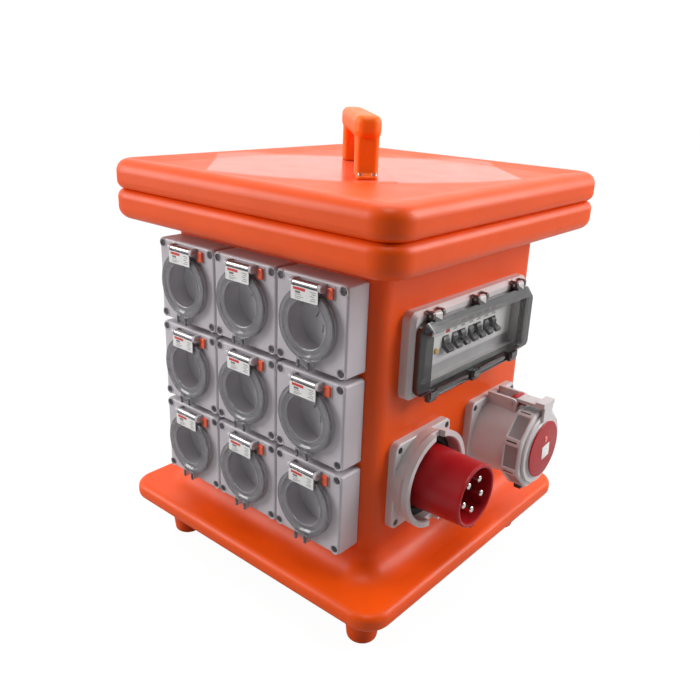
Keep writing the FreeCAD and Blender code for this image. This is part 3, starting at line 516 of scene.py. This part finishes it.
def lid_ridge():
    """Shallow fold of the lid beside the handle: it ends in a step, with a dark strip beside it as
    painted shadow of the crease.
    """
    fold = Drawing()
    part = bmesh.new()
    columns, rows = 40, 12
    low_along, high_along, low_across, high_across = -62, 136, -22, 30

    def ease(value):
        value = min(1.0, max(0.0, value))
        return value * value * (3 - 2 * value)

    points = []
    for i in range(columns + 1):
        along = low_along + (high_along - low_along) * i / columns
        ends = ease((along - low_along) / 26) * ease((high_along - along) / 12)
        line = []
        for j in range(rows + 1):
            across = low_across + (high_across - low_across) * j / rows
            height = FOLD_RISE * ends * ease(j / rows) - 0.05
            line.append(part.verts.new((along, across, height)))
        line.append(part.verts.new((along, high_across + 0.6, -0.6)))
        points.append(line)
    for i in range(columns):
        for j in range(rows + 1):
            part.faces.new((points[i][j], points[i + 1][j], points[i + 1][j + 1], points[i][j + 1]))
    fold.take(part)
    # Painted shadow: a thin dark orange strip along the step stands in for the crease's shadow line.
    fold.extrude([(-42, 30.3), (131, 30.3), (131, 31.5), (-42, 31.5)], -0.4, 0.15, slot=1)
    fold.finish("lid_fold", handle_place, "root", lid_orange, painted_crease_shadow, slot="orange_body", sharp=30)


lid_ridge()
handle()

# --- socket outlets --------------------------------------------------------------------------------

FLAP_FACE = 40.9
HINGE_UP = 43
HINGE_OUT = 38
LABEL_FACE = 42.4
LATCH_OUT = 7.3
SCREW_OUT = 44
LAMP = (28, 39)


def flap_label(index):
    """Blank rating label on a carrier over the flap's tab: a printed block and rules, no lettering."""
    card = Drawing()
    card.extrude(rounded(19.5, 7.8, 1.2, 2, centre=(0, 33.4)), FLAP_FACE - 0.6, LABEL_FACE, bevel=0.3,
                 segments=1, slot=3)
    card.extrude(rounded(19, 7.3, 0.8, 2, centre=(0, 33.4)), LABEL_FACE - 0.2, LABEL_FACE + 0.2, slot=0)
    card.extrude(rounded(8.5, 1.5, 0.3, 1, centre=(-7, 38.2)), LABEL_FACE, LABEL_FACE + 0.35, slot=1)
    card.extrude(rounded(3.6, 1.1, 0.3, 1, centre=(-9, 34.6)), LABEL_FACE, LABEL_FACE + 0.32, slot=2)
    for left, right, at in ((-12.6, -4, 31.8), (-12.6, -1, 29.6), (-12.6, -5, 27.8), (8.5, 16, 37.6),
                            (10.5, 16, 35.4), (8.5, 14, 33.2), (10.5, 16, 31), (8.5, 16, 28.8)):
        card.extrude([(left, at), (right, at), (right, at + 0.6), (left, at + 0.6)],
                     LABEL_FACE, LABEL_FACE + 0.3, slot=2)
    card.finish(f"flap_label_{index}", socket_place(index), f"flap_{index}", label_white, label_red,
                label_ink, smoke_band, slot="device_white")


def hinge_sheath(index):
    """Sprung sleeve round the flap's hinge barrel, with raised collars at its ends."""
    sheath = Drawing()
    turn = Matrix.Translation((-17.2, HINGE_UP, HINGE_OUT)) @ ALONG
    sheath.lathe([(3.7, 0), (4.5, 0.2), (4.5, 2.2), (4.15, 2.5), (4.15, 31.9), (4.5, 32.2), (4.5, 34.2),
                  (3.7, 34.4)], steps=40, turn=turn, start=-60, sweep=250)
    sheath.finish(f"hinge_sheath_{index}", socket_place(index), f"flap_{index}", barrel_grey,
                  slot="zinc_steel")


def flap_rim(index):
    """Beads round the flap's edge and its clear middle, the darker band between, and latch knobs."""
    rim = Drawing()
    for radius, level, size, slot in ((39.0, 38.9, 1.1, 0), (27.4, 38.2, 1.0, 1)):
        profile = [(radius + size * math.cos(a), level + size * math.sin(a))
                   for a in [math.radians(45 * k) for k in range(8)]]
        rim.lathe(profile, steps=96, slot=slot)
    rim.lathe([(27.6, 38.05), (27.6, 38.4), (32.6, 38.4), (34.8, 40.2), (38.2, 40.2), (38.2, 39.9),
               (34.9, 39.9), (32.8, 38.05)], steps=96, slot=0)
    for x in (-LATCH_OUT, LATCH_OUT):
        rim.extrude(rounded(2.1, 4.6, 1.4, 3, centre=(x, -43.5)), 41.8, 42.7, bevel=0.4, slot=2)
        rim.extrude(rounded(1.1, 1.6, 0.8, 3, centre=(x, -45)), 42.5, 43.4, bevel=0.3, slot=1)
    rim.finish(f"flap_rim_{index}", socket_place(index), f"flap_{index}", smoke_band, clear_bead,
               dark_smoke_and_edge_shade, slot="smoke_clear")


def housing_trim():
    """Rims of the screw wells, lamp surround and lamp lens of each outlet housing."""
    for index in OUTLETS:
        trim = Drawing()
        for x in (-SCREW_OUT, SCREW_OUT):
            for y in (-SCREW_OUT, SCREW_OUT):
                well = [(5.0, 31.6), (5.3, 32.5), (5.9, 32.5), (6.2, 31.6)]
                trim.lathe(well, steps=32, turn=Matrix.Translation((x, y, 0)))
        trim.border(rounded(5.6, 7.6, 1.4, 3, centre=LAMP), rounded(4.15, 6.15, 0.8, 3, centre=LAMP),
                    31.7, 32.7)
        trim.extrude(rounded(4.1, 6.1, 1, 3, centre=LAMP), 32.5, 35.4, bevel=0.9, slot=1)
        trim.finish(f"housing_trim_{index}", socket_place(index), "root", housing_grey, lamp_red,
                    slot="grey_housing")


for number in OUTLETS:
    flap_label(number)
    hinge_sheath(number)
    flap_rim(number)
housing_trim()

# --- heavy-current outlet --------------------------------------------------------------------------

RING_FLAT = 52
RING_BACK = 56.2
RING_FRONT = 81
RING_BORE = 44.6
CORNER = math.radians(22.5)
EIGHTH = math.radians(45)


def cap_ring():
    """Eight-sided locking ring with sunk panels in a darker grey as painted shade, a dark latch block,
    and a dark mark on each corner as painted shade of a notch.
    """
    ring = Drawing()
    part = bmesh.new()
    corner = RING_FLAT / math.cos(CORNER)
    reach, blunt = corner - 1.6, 3.4
    outline = []
    for k in range(8):
        angle = CORNER + EIGHTH * k
        for lean in (-blunt, blunt):
            outline.append((reach * math.cos(angle) - lean * math.sin(angle),
                            reach * math.sin(angle) + lean * math.cos(angle)))
    levels = (RING_BACK, RING_FRONT - 2.2, RING_FRONT)
    shrink = (1.0, 1.0, 0.955)
    loops = [[part.verts.new((x * s, y * s, h)) for x, y in outline] for h, s in zip(levels, shrink)]
    for h in (RING_FRONT, RING_BACK):
        loop = []
        for x, y in outline:
            size = math.hypot(x, y)
            loop.append(part.verts.new((x / size * RING_BORE, y / size * RING_BORE, h)))
        loops.append(loop)
    panels = []
    count = len(outline)
    for a in range(len(loops)):
        first, second = loops[a], loops[(a + 1) % len(loops)]
        for i in range(count):
            j = (i + 1) % count
            face = part.faces.new((first[i], first[j], second[j], second[i]))
            if a == 0 and i % 2:
                panels.append(face)
    bmesh.ops.recalc_face_normals(part, faces=part.faces)
    for face in panels:
        bmesh.ops.inset_region(part, faces=[face], thickness=2.6, depth=0.0)
        bmesh.ops.inset_region(part, faces=[face], thickness=0.5, depth=-1.7)
        # Painted shade: the sunk panels take the darker grey.
        face.material_index = 2
    keep = [e for e in part.edges if e.calc_face_angle(0) > math.radians(20)]
    bmesh.ops.bevel(part, geom=keep, offset=0.6, segments=2, affect="EDGES", profile=0.5,
                    clamp_overlap=True)
    ring.take(part, 0)
    ring.extrude(rounded(9, 6.5, 1.5, 3, centre=(0, -RING_FLAT - 6)), RING_BACK + 1, RING_BACK + 11.5,
                 bevel=1.2, slot=1)
    # Painted shade: a small dark mark at each corner stands in for the shade in a notch.
    for k in range(8):
        turn = Matrix.Rotation(CORNER + EIGHTH * k, 4, "Z") @ Matrix.Translation((corner - 1.7, 0, 0))
        ring.extrude(rounded(0.45, 0.9, 0.3, 1), RING_BACK + 4, RING_FRONT - 7, slot=1, turn=turn)
    item = ring.finish("cap_ring_moulding", outlet_place, "cap_ring", flange_grey, dark_plastic_and_notch_shade,
                       ring_panel_shade, slot="grey_housing", sharp=50)
    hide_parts("outlet_cap_ring")


def cap_badges():
    """Red disc on the cap with a blank pale label and a small printed patch."""
    disc = Drawing()
    disc.lathe([(AXIS, 86.4), (37.2, 86.4), (37.9, 87.2), (37.2, 88.1), (30, 88.6), (12, 88.9),
                (AXIS, 89)], steps=96)
    disc.finish("cap_disc", outlet_place, "outlet_cap", red_gloss, slot="red_plastic")
    card = Drawing()
    lean = Matrix.Rotation(math.radians(6), 4, "Z")
    card.extrude(rounded(9.5, 9, 0.6, 2, centre=(3, -4)), 88.7, 89.5, bevel=0.2, turn=lean)
    card.extrude(rounded(3, 4.2, 0.5, 2, centre=(2.4, 14)), 88.5, 89.3, bevel=0.2, slot=1, turn=lean)
    card.finish("cap_label", outlet_place, "outlet_cap", label_white, lamp_red, slot="device_white")


def hinge_roller():
    """Red roller round the cap's hinge barrel."""
    roller = Drawing()
    turn = Matrix.Translation((-10.9, 55, 44)) @ ALONG
    roller.lathe([(6.6, 0), (7.6, 0.6), (7.9, 1.6), (7.9, 20.2), (7.6, 21.2), (6.6, 21.8)], steps=48,
                 turn=turn)
    roller.finish("hinge_roller", outlet_place, "outlet_cap", red_gloss, slot="red_plastic")


cap_ring()
cap_badges()
hinge_roller()

# --- heavy-current inlet ---------------------------------------------------------------------------


def inlet_trim():
    """Rubber washer inside the locking collar and a bead round the sleeve's mouth."""
    washer = Drawing()
    washer.lathe([(40.5, 9.5), (51.7, 9.5), (51.7, 14.5), (49, 15.6), (43, 15.6), (40.5, 13)], steps=96)
    washer.finish("inlet_washer", inlet_place, "root", black_rubber, slot="black_seal")
    bead = Drawing()
    bead.lathe([(33.6, 84), (34.2, 85.6), (36, 86.1), (37.6, 85.4), (38.1, 83.6), (37.4, 82), (34, 82)],
               steps=96)
    bead.finish("sleeve_bead", inlet_place, "root", red_gloss, slot="red_plastic")


inlet_trim()

# --- breaker window --------------------------------------------------------------------------------

MODULE = 17.7
DEVICE_FACE = 5


def device_print(name, centre, width, blocks, rules):
    """Printed face of a rail device: plain blocks and rules, no lettering."""
    face = Drawing()
    for side in (-1, 1):
        plate = rounded(width / 2 - 0.6, 6.1, 0.5, 2, centre=(centre, side * 15.6))
        face.extrude(plate, DEVICE_FACE - 0.2, DEVICE_FACE + 0.15)
    for x, y, half_x, half_y, slot in blocks:
        face.extrude(rounded(half_x, half_y, 0.4, 1, centre=(centre + x, y)),
                     DEVICE_FACE, DEVICE_FACE + 0.4, slot=slot)
    for x, y, half_x in rules:
        face.extrude(rounded(half_x, 0.35, 0.1, 1, centre=(centre + x, y)),
                     DEVICE_FACE, DEVICE_FACE + 0.35, slot=2)
    face.finish(name, window_place, "root", device_white, label_red, label_ink, insert_grey,
                slot="device_white")


def breaker_levers(index):
    """Two rocking levers on one hub, joined by a thin tie bar."""
    centre = (2 * index - 3) * MODULE
    levers = Drawing()
    tipped = Matrix.Translation((centre, 0, 0)) @ Matrix.Rotation(math.radians(35), 4, "X")
    for side in (-1, 1):
        shift = side * MODULE / 2
        levers.extrude(rounded(5.2, 2.4, 1.4, 3, centre=(shift, 0)), 4, 17.9, bevel=1.1, turn=tipped)
        levers.extrude(rounded(5.4, 0.5, 0.4, 1, centre=(shift, 2.3)), 13.6, 16.6, slot=1, turn=tipped)
        drum = Matrix.Translation((centre + shift - 5.1, 0, 0)) @ ALONG
        levers.lathe([(AXIS, 0), (7.4, 0), (7.9, 0.5), (7.9, 9.7), (7.4, 10.2), (AXIS, 10.2)],
                     steps=48, turn=drum)
    levers.extrude(rounded(MODULE / 2, 1.0, 0.8, 2), 10.5, 13.5, bevel=0.4, turn=tipped)
    item = levers.finish(f"breaker_levers_{index}", window_place, f"toggle_{index}", dark_plastic_and_notch_shade,
                         label_ink, slot="lever_black")
    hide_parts(f"breaker_toggle_{index}")


def rail_devices():
    """Printed faces of the residual current device and the breakers, and the breakers' levers."""
    rcd_blocks = ((-27, 14, 5, 3.4, 1), (-9, 15, 5.5, 2.6, 1), (12, 14, 9, 5, 3), (29, 13, 4, 3.6, 1),
                  (12, -13, 12, 5, 3), (-24, -15, 6, 2.5, 3))
    rcd_rules = ((-27, 18.4, 5.5), (-9, 19.2, 6), (-9, 10.8, 4.5), (29, 18.6, 4), (-24, -11, 6),
                 (29, -12, 4), (29, -14.5, 4), (29, -17, 4))
    device_print("rcd_print", -4 * MODULE, 4 * MODULE, rcd_blocks, rcd_rules)
    for index in (1, 2, 3):
        blocks, rules = [], []
        for side in (-1, 1):
            x = side * MODULE / 2
            print_slot = 1 if side == index % 2 * 2 - 1 else 2
            blocks += [(x - 1, 17.6, 5.2, 1.9, print_slot), (x, -15, 5, 3.6, 3)]
            rules += [(x, 13.6, 5), (x, 12.1, 3.4), (x, 10.6, 4.4), (x, -10.4, 4)]
        device_print(f"breaker_print_{index}", (2 * index - 3) * MODULE, 2 * MODULE, blocks, rules)
        breaker_levers(index)


def mask_edge():
    """Raised lip round the device slot."""
    lip = Drawing()
    lip.border(rounded(108.4, 25.2, 2, 4), rounded(106.6, 23.4, 1, 4), 2.8, 4.2)
    lip.finish("mask_lip", window_place, "root", insert_grey, slot="light_insert")


def cover_skirt():
    """Dark latch strip that hangs from the cover's lower edge, with three latch lugs."""
    skirt = Drawing()
    skirt.extrude(rounded(98, 4.6, 2, 3, centre=(6, -50)), 18.5, 21, bevel=0.6)
    skirt.extrude(rounded(96, 0.7, 0.4, 1, centre=(6, -53.2)), 21, 21.8)
    for x in KNUCKLES:
        skirt.extrude(rounded(8, 6.4, 2, 3, centre=(x, -50)), 17.5, 24.5, bevel=1.6, segments=3, slot=1)
        skirt.extrude(rounded(5, 1.2, 0.6, 2, centre=(x, -50)), 24, 25.2, bevel=0.4, slot=1)
    skirt.finish("cover_skirt", window_place, "window_cover", dark_smoke_and_edge_shade, ear_brown, slot="smoke_clear")


rail_devices()
mask_edge()
cover_skirt()

# --- floor -----------------------------------------------------------------------------------------

FLOOR_HALF = 14.0
FLOOR_DROP = 0.0005
FLOOR_GLOW = 1.13
CAMERA_SHARE = 0.85


def whiten(material):
    """Let the camera see the surface nearly white while it throws little light back."""
    tree = material.node_tree
    glow = tree.nodes.new("ShaderNodeEmission")
    glow.inputs["Strength"].default_value = FLOOR_GLOW
    rays = tree.nodes.new("ShaderNodeLightPath")
    share = tree.nodes.new("ShaderNodeMath")
    share.operation = "MULTIPLY"
    share.inputs[1].default_value = CAMERA_SHARE
    tree.links.new(rays.outputs["Is Camera Ray"], share.inputs[0])
    blend = tree.nodes.new("ShaderNodeMixShader")
    tree.links.new(share.outputs["Value"], blend.inputs["Fac"])
    tree.links.new(tree.nodes["Principled BSDF"].outputs["BSDF"], blend.inputs[1])
    tree.links.new(glow.outputs["Emission"], blend.inputs[2])
    tree.links.new(blend.outputs["Shader"], tree.nodes["Material Output"].inputs["Surface"])


floor_mesh = bmesh.new()
bmesh.ops.create_grid(floor_mesh, x_segments=8, y_segments=8, size=FLOOR_HALF)
floor_data = bpy.data.meshes.new("floor")
floor_mesh.to_mesh(floor_data)
floor_mesh.free()
floor = bpy.data.objects.new("floor", floor_data)
floor.location.z = -FLOOR_DROP
bpy.context.scene.collection.objects.link(floor)
floor_look = plastic("pale_studio_floor", (0.42, 0.42, 0.42), 0.7, spread=0.01, patch=2.0,
                     grain=200.0, grain_depth=0.00002)
whiten(floor_look)
floor_data.materials.append(floor_look)

# --- light and camera ------------------------------------------------------------------------------

SKY_TOWARD = (-0.62, 0.78, 0.0)
SKY_EDGES = (-0.45, 0.4)
SKY_LEVELS = (0.08, 1.02)

# The camera sees a white studio; reflections see it fade from pale at the back to dark in front.
world = bpy.data.worlds.new("studio")
bpy.context.scene.world = world
world.use_nodes = True
sky = world.node_tree
direction = sky.nodes.new("ShaderNodeTexCoord")
toward = sky.nodes.new("ShaderNodeVectorMath")
toward.operation = "DOT_PRODUCT"
toward.inputs[1].default_value = SKY_TOWARD
sky.links.new(direction.outputs["Generated"], toward.inputs[0])
spread = sky.nodes.new("ShaderNodeMapRange")
spread.inputs["From Min"].default_value, spread.inputs["From Max"].default_value = SKY_EDGES
spread.inputs["To Min"].default_value, spread.inputs["To Max"].default_value = SKY_LEVELS
sky.links.new(toward.outputs["Value"], spread.inputs["Value"])
sky.nodes["Background"].inputs["Color"].default_value = (1, 1, 1, 1)
seen = sky.nodes.new("ShaderNodeLightPath")
strength = sky.nodes.new("ShaderNodeMath")
strength.operation = "MAXIMUM"
sky.links.new(spread.outputs["Result"], strength.inputs[0])
sky.links.new(seen.outputs["Is Camera Ray"], strength.inputs[1])
sky.links.new(strength.outputs["Value"], sky.nodes["Background"].inputs["Strength"])


def softbox(name, place, target, width, height, power):
    data = bpy.data.lights.new(name, "AREA")
    data.shape = "RECTANGLE"
    data.size, data.size_y = width, height
    data.energy = power
    item = bpy.data.objects.new(name, data)
    item.location = place
    item.rotation_mode = "QUATERNION"
    item.rotation_quaternion = (Vector(target) - Vector(place)).to_track_quat("-Z", "Y")
    bpy.context.scene.collection.objects.link(item)


softbox("overhead", (-0.3, 0.6, 2.0), (0, 0, 0.5), 1.4, 1.4, 14)
softbox("right_back", (1.25, 1.15, 1.1), (0.1, 0.1, 0.35), 0.9, 1.0, 25)
softbox("left_front", (-1.35, -1.35, 1.0), (-0.1, 0, 0.3), 1.0, 1.1, 26)
softbox("front_top", (0.45, -0.62, 2.2), (0.1, -0.1, 0.2), 0.6, 0.6, 11)

CAMERA_PLACE = (0.5863, -0.7376, 0.6329)
YAW, PITCH, ROLL = (math.radians(a) for a in (39.596, 20.384, 2.341))
SENSOR = 36.0
LENS = 38.14

forward = Vector((-math.sin(YAW) * math.cos(PITCH), math.cos(YAW) * math.cos(PITCH),
                  -math.sin(PITCH)))
level = Vector((math.cos(YAW), math.sin(YAW), 0))
upright = level.cross(forward)
right = math.cos(ROLL) * level + math.sin(ROLL) * upright
up = -math.sin(ROLL) * level + math.cos(ROLL) * upright
camera_data = bpy.data.cameras.new("camera")
camera_data.sensor_width = SENSOR
camera_data.lens = LENS
camera_data.clip_start = 0.05
camera = bpy.data.objects.new("camera", camera_data)
turn = Matrix((right, up, -forward)).transposed().to_4x4()
camera.matrix_world = Matrix.Translation(CAMERA_PLACE) @ turn
bpy.context.scene.collection.objects.link(camera)
bpy.context.scene.camera = camera
bpy.context.scene.view_settings.view_transform = "Standard"
